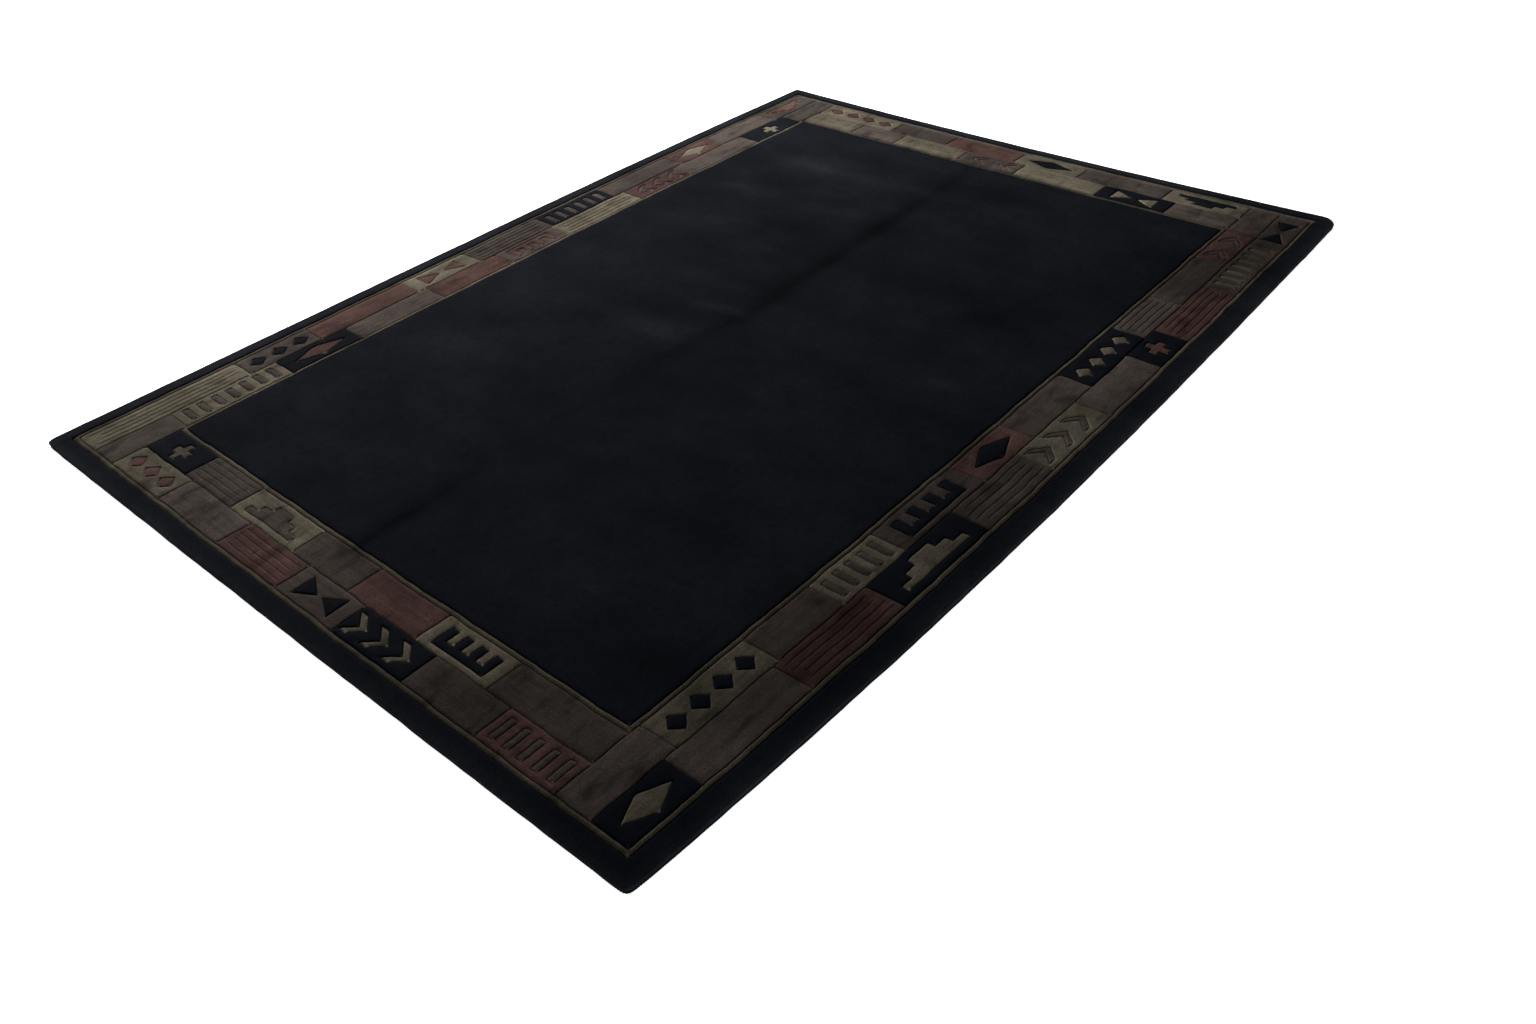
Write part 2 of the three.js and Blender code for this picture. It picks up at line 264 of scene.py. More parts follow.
# %% Border chart
BLOCKS = read_table("""
side   row    from    to  ground  motif      yarn
near   outer -1151 -1010  black   lozenge    khaki
near   outer -1010  -775  taupe   plain      taupe
near   outer  -775  -545  rose    reeds      rose
near   outer  -545  -300  black   steps      khaki
near   outer  -300   -85  taupe   reeds      taupe
near   outer   -85   130  khaki   chevrons   taupe
near   outer   130   345  taupe   plain      taupe
near   outer   345   470  black   cross      rose
near   outer   470   715  rose    reeds      rose
near   outer   715   960  taupe   rungs      khaki
near   outer   960  1151  taupe   hourglass  black
near   inner -1151  -985  taupe   plain      taupe
near   inner  -985  -760  khaki   diamonds   black
near   inner  -760  -600  taupe   plain      taupe
near   inner  -600  -430  khaki   rungs      taupe
near   inner  -430  -190  taupe   comb       black
near   inner  -190   -20  rose    lozenge    black
near   inner   -20   200  taupe   plain      taupe
near   inner   200   430  black   diamonds   khaki
near   inner   430   600  taupe   reeds      taupe
near   inner   600   830  taupe   plain      taupe
near   inner   830  1010  rose    chevrons   taupe
near   inner  1010  1151  taupe   plain      taupe
far    outer -1151  -960  taupe   steps      rose
far    outer  -960  -730  taupe   plain      taupe
far    outer  -730  -560  rose    lozenge    khaki
far    outer  -560  -300  taupe   plain      taupe
far    outer  -300   -80  black   rungs      taupe
far    outer   -80   160  taupe   reeds      taupe
far    outer   160   350  khaki   hourglass  rose
far    outer   350   620  rose    plain      rose
far    outer   620   800  taupe   diamonds   black
far    outer   800  1151  khaki   reeds      khaki
far    inner -1151  -990  taupe   plain      taupe
far    inner  -990  -800  black   cross      khaki
far    inner  -800  -520  taupe   plain      taupe
far    inner  -520  -330  rose    chevrons   taupe
far    inner  -330   -70  khaki   reeds      khaki
far    inner   -70   120  taupe   comb       rose
far    inner   120   330  rose    plain      rose
far    inner   330   560  taupe   plain      taupe
far    inner   560   740  black   lozenge    rose
far    inner   740   990  khaki   rungs      taupe
far    inner   990  1151  taupe   plain      taupe
left   outer  -655  -470  khaki   diamonds   rose
left   outer  -470  -255  taupe   plain      taupe
left   outer  -255   -60  rose    reeds      rose
left   outer   -60   110  taupe   hourglass  black
left   outer   110   300  black   chevrons   khaki
left   outer   300   480  taupe   plain      taupe
left   outer   480   655  rose    rungs      taupe
left   inner  -655  -500  black   cross      taupe
left   inner  -500  -330  taupe   reeds      taupe
left   inner  -330  -120  khaki   steps      taupe
left   inner  -120    50  taupe   plain      taupe
left   inner    50   240  rose    plain      rose
left   inner   240   420  khaki   comb       black
left   inner   420   655  taupe   plain      taupe
right  outer  -655  -450  khaki   steps      black
right  outer  -450  -210  taupe   plain      taupe
right  outer  -210   -20  khaki   lozenge    black
right  outer   -20   200  rose    reeds      rose
right  outer   200   390  taupe   plain      taupe
right  outer   390   655  khaki   diamonds   rose
right  inner  -655  -490  taupe   plain      taupe
right  inner  -490  -300  black   hourglass  khaki
right  inner  -300   -60  khaki   plain      khaki
right  inner   -60   120  taupe   chevrons   rose
right  inner   120   330  khaki   reeds      khaki
right  inner   330   480  taupe   plain      taupe
right  inner   480   655  khaki   plain      khaki
""")

ROW_MIDDLE = (OUTER_BAND + FIELD_BAND) / 2
ROWS = {
    "outer": (OUTER_BAND + GUARD_WIDTH, ROW_MIDDLE),
    "inner": (ROW_MIDDLE, FIELD_BAND - GUARD_WIDTH),
}
LONG_RUN = LENGTH / 2 - OUTER_BAND - GUARD_WIDTH
SHORT_RUN = WIDTH / 2 - ROWS["inner"][1]
RUN_END = {"near": LONG_RUN, "far": LONG_RUN, "left": SHORT_RUN, "right": SHORT_RUN}


def on_side(side, along, inset):
    """A place along a side and in from its edge, as x and y on the flat cloth."""
    if side == "near":
        return along, inset - WIDTH / 2
    if side == "far":
        return -along, WIDTH / 2 - inset
    if side == "left":
        return inset - LENGTH / 2, -along
    return LENGTH / 2 - inset, along


print(len(BLOCKS), "blocks of patchwork")

# %% [markdown]
# ## Motif outlines
#
# Each motif is an outline about the middle of its block, given as shares of the block's length and of the
# row's width, so the same rule draws it in a long block and in a short one. Reeds are different: they are
# lines sheared along a block of one colour, with no second yarn.

# %% Motifs that stand alone
def lozenge(length, width):
    tip, peak = 0.36 * length, 0.33 * width
    return [[(tip, 0), (0, peak), (-tip, 0), (0, -peak)]]


def cross(length, width):
    arm, bar = 0.34 * width, 0.12 * width
    quarter = [(arm, -bar), (arm, bar), (bar, bar)]
    outline = []
    for _ in range(4):
        outline += quarter
        quarter = [(-v, u) for u, v in quarter]
    return [outline]


def hourglass(length, width):
    end, waist, side = 0.3 * length, 0.04 * length, 0.34 * width
    return [[(-end, side), (-end, -side), (-waist, 0)], [(end, -side), (end, side), (waist, 0)]]


def steps(length, width):
    wide, middling, narrow = 0.36 * length, 0.24 * length, 0.12 * length
    base, low, high, top = -0.3 * width, -0.1 * width, 0.1 * width, 0.3 * width
    half = [(wide, base), (wide, low), (middling, low), (middling, high), (narrow, high), (narrow, top)]
    return [half + [(-u, v) for u, v in reversed(half)]]


# %% Motifs that repeat along a block
def row_of(count, pitch, shape):
    """The same outline several times along a block."""
    return [[(u + (i - (count - 1) / 2) * pitch, v) for u, v in shape] for i in range(count)]


def diamonds(length, width):
    count = round(length / (0.85 * width))
    pitch = 0.9 * length / count
    tip, peak = 0.38 * pitch, 0.27 * width
    return row_of(count, pitch, [(tip, 0), (0, peak), (-tip, 0), (0, -peak)])


def chevrons(length, width):
    count = round(length / width)
    tip, back, half, thick = 0.2 * width, -0.2 * width, 0.33 * width, 0.26 * width
    shape = [(tip, 0), (back, half), (back - thick, half), (tip - thick, 0),
             (back - thick, -half), (back, -half)]
    return row_of(count, 0.9 * length / count, shape)


def rungs(length, width):
    count = round(length / (0.5 * width))
    half_bar, half_height = 0.2 * length / count, 0.33 * width
    bar = [(half_bar, -half_height), (half_bar, half_height),
           (-half_bar, half_height), (-half_bar, -half_height)]
    return row_of(count, 0.92 * length / count, bar)


def comb(length, width):
    teeth, gap = 4, 0.1 * length
    spine, root, tip = -0.32 * width, -0.1 * width, 0.3 * width
    end = (teeth - 0.5) * gap
    outline = [(end, spine), (end, tip)]
    for tooth in range(teeth - 1):
        edge = end - (2 * tooth + 1) * gap
        outline += [(edge, tip), (edge, root), (edge - gap, root), (edge - gap, tip)]
    return [outline + [(-end, tip), (-end, spine)]]


# %% Draw every motif
MOTIFS = {"lozenge": lozenge, "cross": cross, "hourglass": hourglass, "steps": steps,
          "diamonds": diamonds, "chevrons": chevrons, "rungs": rungs, "comb": comb}


def motif_outlines(block):
    """The outlines of a block's motif on the flat cloth, in millimetres."""
    if block["motif"] not in MOTIFS:
        return []
    start, end = ROWS[block["row"]]
    along, inset = (block["from"] + block["to"]) / 2, (start + end) / 2
    drawn = MOTIFS[block["motif"]](block["to"] - block["from"], end - start)
    return [[on_side(block["side"], along + u, inset + v) for u, v in outline] for outline in drawn]


outlines = [(outline, block["yarn"]) for block in BLOCKS for outline in motif_outlines(block)]
print(len(outlines), "motif outlines")

# %% [markdown]
# ## The routes of the shears
#
# When the knotting is done, the finisher runs the tips of a pair of shears along every change of colour,
# so that each block stands up on its own. The routes are the guard lines on both edges of the patchwork,
# the line between its two rows, the joints between blocks, the motif outlines, and the reeds. Each is a
# list of corners, with a depth and a width for its kind; main lines are cut deepest.

# %% Depth and width of each kind of groove
GROOVES = {row["kind"]: row for row in read_table("""
kind   depth  lip
guard  3.6    1.4
row    3.3    1.4
joint  3.0    1.4
motif  2.9    1.4
reed   1.9    1.1
""")}
print("deepest groove", max(row["depth"] for row in GROOVES.values()), "mm")

# %% [markdown]
# The reeds are four lines along a block, each pushed a little to one hand or the other, so that their
# ends don't stand in a rank.

# %% Reeds
REED_LINES = (-0.3, -0.1, 0.1, 0.3)
REED_LENGTH = 0.42
REED_PUSH = 0.06


def reeds_of(block):
    """The lines sheared along a block, four abreast."""
    start, end = ROWS[block["row"]]
    middle = (block["from"] + block["to"]) / 2
    reach = REED_LENGTH * (block["to"] - block["from"])
    lines = []
    for share in REED_LINES:
        inset = (start + end) / 2 + share * (end - start)
        push = REED_PUSH * reach * math.copysign(1, math.sin(40 * share + middle))
        lines.append([on_side(block["side"], middle + hand * reach + push, inset) for hand in (-1, 1)])
    return lines


# %% Every route of the shears
def ring_route(inset):
    x, y = LENGTH / 2 - inset, WIDTH / 2 - inset
    return [(-x, -y), (x, -y), (x, y), (-x, y), (-x, -y)]


routes = [("guard", ring_route(inset)) for inset in (
    OUTER_BAND, OUTER_BAND + GUARD_WIDTH, FIELD_BAND - GUARD_WIDTH, FIELD_BAND)]
for side, end in RUN_END.items():
    routes.append(("row", [on_side(side, -end, ROW_MIDDLE), on_side(side, end, ROW_MIDDLE)]))
for block in BLOCKS:
    side, (start, end) = block["side"], ROWS[block["row"]]
    ends = [block["to"]] * (block["to"] < LONG_RUN) + [block["from"]] * (block["from"] == -SHORT_RUN)
    routes += [("joint", [on_side(side, at, start), on_side(side, at, end)]) for at in ends]
    if block["motif"] == "reeds":
        routes += [("reed", line) for line in reeds_of(block)]
routes += [("motif", outline + outline[:1]) for outline, _ in outlines]
legs = {kind: np.array([(*a, *b) for name, route in routes if name == kind
                        for a, b in zip(route, route[1:])]) for kind in GROOVES}
print({kind: f"{np.hypot(*(l[:, 2:] - l[:, :2]).T).sum() / 1000:.1f} m" for kind, l in legs.items()})

# %% [markdown]
# ## How the cloth lies
#
# Two things move a point of the flat, squared-up cloth to its place on the floor. The sides bow. And the
# weaver's hand wanders: no line in a knotted rug is quite straight, so every point strays by a millimetre
# or two, smoothly, by a few crossed waves that are weaker at the firm edge.

# %% Bowed sides and an unsteady hand
STRAY_WAVES = read_table("""
long  cross  size  start
43    310    0.20  3.3
61    590    0.28  0.6
97    -730   0.34  2.1
151   1100   0.42  4.0
233   -900   0.45  1.1
389   1500   0.50  5.2
""")
FIRM_EDGE, FREE_CLOTH = 8, 40
STRAY_AT_EDGE = 0.4


def edge_distance(x, y):
    """How far in from the nearest side each point of the flat cloth is."""
    return np.minimum(LENGTH / 2 - np.abs(x), WIDTH / 2 - np.abs(y))


def bow_out(side, inset, along):
    """How far a side is bowed outward there, eased to nothing at its ends and in the cloth's middle."""
    row = SIDES[side]
    share = 2 * along / row["span"]
    arch = (1 - share ** 2) * (1 + row["skew"] * share)
    return arch * (row["whole"] * np.maximum(0, 1 - 2 * inset / row["depth"])
                   + row["strip"] * np.exp(-inset / STRIP_REACH))


def stray(x, y):
    """The unsteady hand: small smooth waves along and across."""
    dx, dy = np.zeros_like(x), np.zeros_like(y)
    for wave in STRAY_WAVES:
        turns = math.tau / wave["long"], math.tau / wave["cross"]
        dx += wave["size"] * np.sin(y * turns[0] + x * turns[1] + wave["start"])
        dy += wave["size"] * np.sin(x * turns[0] - y * turns[1] + 2 * wave["start"])
    freedom = np.interp(edge_distance(x, y), (FIRM_EDGE, FREE_CLOTH), (STRAY_AT_EDGE, 1))
    return dx * freedom, dy * freedom


def lay(x, y):
    """Where a point of the flat cloth lies on the floor, before the whole rug is centred."""
    dx, dy = stray(x, y)
    bowed_x = x + dx + bow_out("right", LENGTH / 2 - x, y) - bow_out("left", LENGTH / 2 + x, y)
    bowed_y = y + dy + bow_out("far", WIDTH / 2 - y, x) - bow_out("near", WIDTH / 2 + y, x)
    return bowed_x, bowed_y


print("the hand strays at most", round(sum(wave["size"] for wave in STRAY_WAVES), 1), "mm")

# %% [markdown]
# The shears' depth at a point comes from its distance to the nearest route of each kind. A groove's wall
# is a bell curve with a slightly flatter foot, which is how cut pile closes over a line.

# %% How deep the shears have gone
GROOVE_POWER = 1.6


def leg_distance(x, y, kind):
    """The distance from each point to the nearest route of one kind."""
    nearest = np.full(len(x), np.inf)
    for ax, ay, bx, by in legs[kind]:
        length = math.hypot(bx - ax, by - ay)
        ux, uy = (bx - ax) / length, (by - ay) / length
        t = np.clip((x - ax) * ux + (y - ay) * uy, 0, length)
        nearest = np.minimum(nearest, np.hypot(x - ax - t * ux, y - ay - t * uy))
    return nearest


def carving(x, y):
    """How deep the shears have gone at each point, and how near the closest route is."""
    depth, nearest = np.zeros(len(x)), np.full(len(x), np.inf)
    for kind, groove in GROOVES.items():
        away = leg_distance(x, y, kind)
        depth = np.maximum(depth, groove["depth"] * np.exp(-(away / groove["lip"]) ** GROOVE_POWER))
        nearest = np.minimum(nearest, away)
    return depth, nearest


# %% [markdown]
# ## Walking round the edge
#
# The rug's edge is a rectangle with rounded corners, the near right one quite round and the others
# squarer. One list of stations walks round it once; each station knows a base point a corner radius in
# from the edge and the way out. A ring at any inset is then one sum, and rings at different insets match
# station by station, which makes clean strips of faces. A corner between round and square is a
# superellipse, whose power says how square it is: 2 is a circle.

# %% Stations round the edge
SQUARENESS = {(1, -1): 2.2, (1, 1): 11.2, (-1, 1): 7.3, (-1, -1): 7.3}
EDGE_STEP, CORNER_STEPS = 10, 16


def squared(turn, square):
    """The way out of a corner at an angle, longer towards the diagonal where the corner is squarer."""
    way = np.array([math.cos(turn), math.sin(turn)])
    return way / (np.abs(way) ** square).sum() ** (1 / square)


def edge_stations(step, corner_steps):
    """Base points and ways out round the rug, anticlockwise from the near left."""
    half_x, half_y = LENGTH / 2 - CORNER_RADIUS, WIDTH / 2 - CORNER_RADIUS
    base, out = [], []
    corners = [(sign_x * half_x, sign_y * half_y) for sign_x, sign_y in SQUARENESS]
    for i, ((cx, cy), square) in enumerate(zip(corners, SQUARENESS.values())):
        px, py = corners[i - 1]
        facing = i * math.pi / 2 - math.pi / 2
        count = round(math.hypot(cx - px, cy - py) / step)
        for s in range(count):
            base.append((px + (cx - px) * s / count, py + (cy - py) * s / count))
            out.append((math.cos(facing), math.sin(facing)))
        for s in range(corner_steps):
            turn = facing + s / corner_steps * math.pi / 2
            base.append((cx, cy))
            out.append(squared(turn, square))
    return np.array(base), np.array(out)


def ring_at(stations, inset):
    """The ring of points at one distance in from the edge."""
    base, out = stations
    return base + out * (CORNER_RADIUS - inset)


def inset_of(x, y):
    """How far in from the rounded edge each point is, as far as the corner radius."""
    over_x = np.maximum(0, np.abs(x) - LENGTH / 2 + CORNER_RADIUS)
    over_y = np.maximum(0, np.abs(y) - WIDTH / 2 + CORNER_RADIUS)
    square = np.array([SQUARENESS[int(sx), int(sy)] for sx, sy in zip(
        np.where(x < 0, -1, 1), np.where(y < 0, -1, 1))])
    return CORNER_RADIUS - (over_x ** square + over_y ** square) ** (1 / square)


stations = edge_stations(EDGE_STEP, CORNER_STEPS)
outline_x, outline_y = lay(*ring_at(stations, 0).T)
centre = np.array([outline_x.min() + outline_x.max(), outline_y.min() + outline_y.max()]) / 2
print(len(stations[0]), "stations; the laid rug's middle is off the flat one's by", centre.round(1), "mm")

# %% [markdown]
# ## Adding up folds, and painted light and shade
#
# Folds and the painted light and shade are sums of the bands in their tables. A band fades sideways as a
# bell curve and ends more squarely. The troughs of the folds get a painted shade as well. Three more things
# change the tone: a painted highlight along the rounded rim, a painted shade on the pile's side as it faces
# the floor, and a painted light gradient that makes the border lighter towards the right and far sides.
# Where many dark bands cross, the tone stops at a lowest value, because wool is never quite black.

# %% Folds, and the painted light and shade of the pile
FOLD_PAINTED_SHADE = 0.16
RIM_PAINTED_HIGHLIGHT, RIM_REACH = 2.4, 8
DARKEST_TONE = 0.15
SIDE_SHADE_FULL_AT, SIDE_SHADE_ENDS_AT, SIDE_SHADE_TONE = -4, -1, 0.12
BORDER_LIGHT_GRADIENT = np.array([0.12, 0.13])


def sum_of_bands(table, measure, x, y):
    """Soft bands laid over each other: each has a middle, a half-length with its direction, and a width."""
    total = np.zeros_like(x)
    for band in table:
        reach = math.hypot(band["dx"], band["dy"])
        along = ((x - band["x"]) * band["dx"] + (y - band["y"]) * band["dy"]) / reach ** 2
        across = ((x - band["x"]) * band["dy"] - (y - band["y"]) * band["dx"]) / reach
        total += band[measure] * np.exp(-(across / band["width"]) ** 2 - along ** 4)
    return total


def crease_height(x, y):
    return sum_of_bands(CREASES, "rise", x, y)


def nap_and_painted_light_tone(x, y):
    """How much lighter or darker the pile is painted: painted sheen and shade on the turned pile, painted
    shade in the folds' troughs and on the side, a painted highlight at the rim, and a painted gradient
    across the border.
    """
    inset = inset_of(x, y)
    # Painted light and shade bands, a painted shade in the folds' troughs and a painted highlight along the
    # rim.
    tone = (1 + sum_of_bands(PAINTED_LIGHT_AND_SHADE_BANDS, "lift", x, y) + FOLD_PAINTED_SHADE * np.minimum(crease_height(x, y), 0)
            + RIM_PAINTED_HIGHLIGHT * np.exp(-np.maximum(inset, 0) / RIM_REACH))
    tone = np.maximum(tone, DARKEST_TONE)
    # A painted shade on the pile's side, which faces the floor.
    tone *= np.interp(inset, (SIDE_SHADE_FULL_AT, SIDE_SHADE_ENDS_AT), (SIDE_SHADE_TONE, 1))
    # A painted light gradient: the border lighter towards the right and far sides.
    painted_gradient = 1 + BORDER_LIGHT_GRADIENT[0] * 2 * x / LENGTH + BORDER_LIGHT_GRADIENT[1] * 2 * y / WIDTH
    return tone * np.where(edge_distance(x, y) < FIELD_BAND, painted_gradient, 1)


# %% [markdown]
# The solid has its origin in the middle of the laid rug, so everything moves by that small offset, and
# the camera, which was measured from the flat rectangle's middle, moves with it.

# %% Place the camera
place = CAMERA_PLACE - Vector((*centre, 0))
camera.matrix_world = (Matrix.Translation(place * MM) @ Matrix.Rotation(HEADING, 4, "Z")
                       @ Matrix.Rotation(TILT, 4, "X") @ Matrix.Rotation(ROLL, 4, "Z"))
print("camera at", [round(value, 3) for value in camera.matrix_world.translation])

# %% [markdown]
# ## Which yarn is where
#
# Five dyed wools make the rug, all of them dark: a near-black with a hint of blue, a grey-brown taupe, a
# khaki, a dusty rose, and an olive for the guard lines. A face of the mesh takes the yarn of the knots it
# stands for. Painting faces, and not an image, keeps every colour change exactly on the bottom of its
# groove. The test goes from the outside in: plain black first, then the guard lines, then the blocks'
# ground, and last whatever motif holds the point. Yarn is dyed in lots, so no two blocks are quite the
# same tone.

# %% The dyed wools
WOOLS = read_table("""
yarn   red     green   blue
black  0.0047  0.0056  0.0076
taupe  0.0500  0.0400  0.0345
khaki  0.0860  0.0745  0.0540
rose   0.0600  0.0335  0.0290
olive  0.0520  0.0440  0.0325
""")
YARNS = {row["yarn"]: number for number, row in enumerate(WOOLS)}
WOOL = np.array([(row["red"], row["green"], row["blue"], 1) for row in WOOLS])
LOT_SPREAD, LOT_STEP = 0.15, 2.4
MOTIFS_IN_A_LOT = 5
print(len(WOOL), "dyed wools")


# %% Which yarn is where
def inside(x, y, outline):
    """Whether each point is inside an outline, by counting the edges to its right."""
    odd = np.zeros(len(x), bool)
    for (ax, ay), (bx, by) in zip(outline, outline[1:] + outline[:1]):
        if ay == by:
            continue
        crosses = (ay > y) != (by > y)
        odd ^= crosses & (x < ax + (y - ay) * (bx - ax) / (by - ay))
    return odd


def dye_lot(number):
    """How much lighter or darker one dyeing of a yarn came out than another."""
    return 1 + LOT_SPREAD * math.sin(LOT_STEP * number)


def yarn_at(x, y):
    """The number of the yarn at each point of the flat cloth, and the tone of its dyeing."""
    inset = edge_distance(x, y)
    yarn, lot = np.zeros(len(x), int), np.ones(len(x))
    yarn[(inset > OUTER_BAND) & (inset < FIELD_BAND)] = YARNS["olive"]
    for number, block in enumerate(BLOCKS):
        start, end = ROWS[block["row"]]
        a = on_side(block["side"], block["from"], start)
        b = on_side(block["side"], block["to"], end)
        low, high = np.minimum(a, b), np.maximum(a, b)
        there = (x > low[0]) & (x < high[0]) & (y > low[1]) & (y < high[1])
        yarn[there], lot[there] = YARNS[block["ground"]], dye_lot(number)
    for number, (outline, name) in enumerate(outlines):
        (low_x, low_y), (high_x, high_y) = np.min(outline, 0), np.max(outline, 0)
        near = np.flatnonzero((x > low_x) & (x < high_x) & (y > low_y) & (y < high_y))
        there = near[inside(x[near], y[near], outline)]
        yarn[there], lot[there] = YARNS[name], dye_lot(number // MOTIFS_IN_A_LOT)
    return yarn, lot


# %% [markdown]
# ## A net of points for the pile
#
# An even grid fine enough for a four-millimetre groove would need millions of faces. Real carving is only
# along lines, so the points go where the shape is: rows of them beside every route, rings round the rim,
# a fairly close grid in the border, and a wide one in the plain field. A Delaunay triangulation then
# joins them, keeping the routes as edges. Points beside one route that lie nearer to another are left
# out, which is all that a crossing or a corner needs.

# %% Net of points
ROUTE_STEP = 8
BESIDE = (0.9, 2.1, 3.9)
MISSED_BY = 0.12
CLEAR_OF_ROUTE = 7
BORDER_STEP, FIELD_STEP = 10, 17
BORDER_GRID_FROM, BORDER_GRID_TO, FIELD_GRID_FROM = 35, FIELD_BAND + 24, FIELD_BAND + 28
RIM_INSETS = (3.6, 5.2, 7.6, 10.6, 14, 19, 25, 31)


def points_beside(routes):
    """Points in rows beside each route, at set distances from its middle."""
    rows = []
    for _, route in routes:
        for (ax, ay), (bx, by) in zip(route, route[1:]):
            length = math.hypot(bx - ax, by - ay)
            t = np.linspace(0, 1, max(2, math.ceil(length / ROUTE_STEP) + 1))
            ux, uy = (bx - ax) / length, (by - ay) / length
            for away in BESIDE:
                for hand in (-away, away):
                    rows.append(np.stack([ax + (bx - ax) * t - uy * hand, ay + (by - ay) * t + ux * hand,
                                          np.full(len(t), away)], 1))
    points = np.concatenate(rows)
    nearest = carving(points[:, 0], points[:, 1])[1]
    return points[np.abs(nearest - points[:, 2]) < MISSED_BY, :2]


def grid_points(step, inset_from, inset_to):
    """An even grid over the band between two insets."""
    xs = np.arange(-LENGTH / 2 + step / 2, LENGTH / 2, step)
    ys = np.arange(-WIDTH / 2 + step / 2, WIDTH / 2, step)
    x, y = (side.ravel() for side in np.meshgrid(xs, ys))
    inset = edge_distance(x, y)
    band = (inset > inset_from) & (inset < inset_to)
    x, y = x[band], y[band]
    clear = carving(x, y)[1] > CLEAR_OF_ROUTE
    return np.stack([x[clear], y[clear]], 1)


def route_points(routes, step):
    """Points on the routes, and the edges that join them."""
    points, edges = [], []
    for _, route in routes:
        for (ax, ay), (bx, by) in zip(route, route[1:]):
            count = max(1, math.ceil(math.hypot(bx - ax, by - ay) / step))
            first = len(points)
            points += [(ax + (bx - ax) * s / count, ay + (by - ay) * s / count) for s in range(count + 1)]
            edges += [(first + s, first + s + 1) for s in range(count)]
    return np.array(points), edges


rim = [ring_at(stations, inset) for inset in RIM_INSETS]
on_routes, route_edges = route_points(routes, ROUTE_STEP)
net = np.concatenate([*rim, on_routes, points_beside(routes),
                      grid_points(BORDER_STEP, BORDER_GRID_FROM, BORDER_GRID_TO),
                      grid_points(FIELD_STEP, FIELD_GRID_FROM, WIDTH)])
print(len(net), "points in the net")

# %% Join the net
SAME_POINT = 0.01


def join_net(net, held_edges, outer_count):
    """Triangles over a net of points that keep the held edges, and where its outermost ring went."""
    joined, _, faces, came_from, _, _ = delaunay_2d_cdt(
        [Vector(point) for point in net], held_edges, [], 0, SAME_POINT, True)
    went = {old: new for new, olds in enumerate(came_from) for old in olds if old < outer_count}
    return (np.array([tuple(point) for point in joined]), [tuple(face) for face in faces],
            [went[i] for i in range(outer_count)])


count = len(stations[0])
first_route = len(RIM_INSETS) * count
held_edges = [(i, (i + 1) % count) for i in range(count)]
held_edges += [(first_route + a, first_route + b) for a, b in route_edges]
flat, triangles, edge_of_top = join_net(net, held_edges, count)
print(len(flat), "points,", len(triangles), "triangles on top")

# %% [markdown]
# ## From the net to a closed piece
#
# The net gets its heights: full pile, less the rounding at the shoulder, less the carving, plus the folds
# and a fine unevenness, because no two knots are cut quite alike. Unevenness is smooth noise in a few
# sizes of hill, each with a height, a width and a seed of its own, so it comes out the same every time.

# %% Pile heights
TOP_HILLS = read_table("""
height  width  seed
0.45    160    3.7
0.16    14     9.1
""")


def hills(kinds, x, y):
    """Smooth hills and hollows of several widths, one laid over the other."""
    total = np.zeros(len(x))
    for kind in kinds:
        spots = zip(x / kind["width"], y / kind["width"])
        total += kind["height"] * np.array([noise.noise(Vector((u, v, kind["seed"]))) for u, v in spots])
    return total


def shoulder(inset):
    return SHOULDER_DROP * np.maximum(0, 1 - inset / SHOULDER_REACH) ** 2


x, y = flat.T
carved, _ = carving(x, y)
top = THICKNESS - shoulder(inset_of(x, y)) - carved + crease_height(x, y) + hills(TOP_HILLS, x, y)
print("pile from", round(float(top.min()), 2), "to", round(float(top.max()), 2), "mm high")

# %% [markdown]
# A few helpers make every mesh in this lesson. One lays flat points on the floor, and one turns millimetres
# into metres and adds the faces. A third gives a piece a map for a flat picture of its surface, with the
# top spread out and the sides folded outward round it, so that the look can be carried to other programs.

# %% Make a piece from flat points
MAP_MARGIN = 0.004


def new_piece(name, points, faces):
    """A smooth mesh object from points in millimetres."""
    mesh = bpy.data.meshes.new(name)
    mesh.from_pydata((np.asarray(points) * MM).tolist(), [], faces)
    mesh.polygons.foreach_set("use_smooth", [True] * len(mesh.polygons))
    mesh.update()
    piece = bpy.data.objects.new(name, mesh)
    bpy.context.scene.collection.objects.link(piece)
    print(name, len(mesh.vertices), "points,", sum(len(p.vertices) - 2 for p in mesh.polygons), "triangles")
    return piece


def laid(x, y, z):
    """Flat points laid on the floor at a height, moved so that the rug's middle is the origin."""
    lx, ly = lay(np.asarray(x, float), np.asarray(y, float))
    return np.stack([lx - centre[0], ly - centre[1], np.broadcast_to(z, np.shape(lx))], 1)


def point_of_corners(piece):
    """The number of the point at each face corner of a piece."""
    corners = np.empty(len(piece.data.loops), int)
    piece.data.loops.foreach_get("vertex_index", corners)
    return corners


def spread_map(piece, spread):
    """A picture map from one flat place for each point, stretched to fill the square."""
    low, high = spread.min(0), spread.max(0)
    share = ((spread - low) / (high - low))[point_of_corners(piece)]
    layer = piece.data.uv_layers.new(name="OFBake")
    layer.data.foreach_set("uv", (MAP_MARGIN + (1 - 2 * MAP_MARGIN) * share).ravel())


# %% [markdown]
# The rim turns over: rows of stations bulge out below the shoulder and draw in to the nip above the
# overcast edge, where one flat face closes the pile. The upper rows of the side swell in and out a
# little, as tufts at an edge do.

# %% Pile
PILE_SIDE = read_table("""
inset  height
2.2    12.5
1.1    11.5
0.3    10.2
0.0    8.6
0.4    6.9
1.2    5.4
2.6    4.6
4.5    4.2
""")
RIM_HILLS = read_table("""
height  width  seed
0.50    60     5.5
0.25    17     1.2
""")
NIP_FROM = 2.5

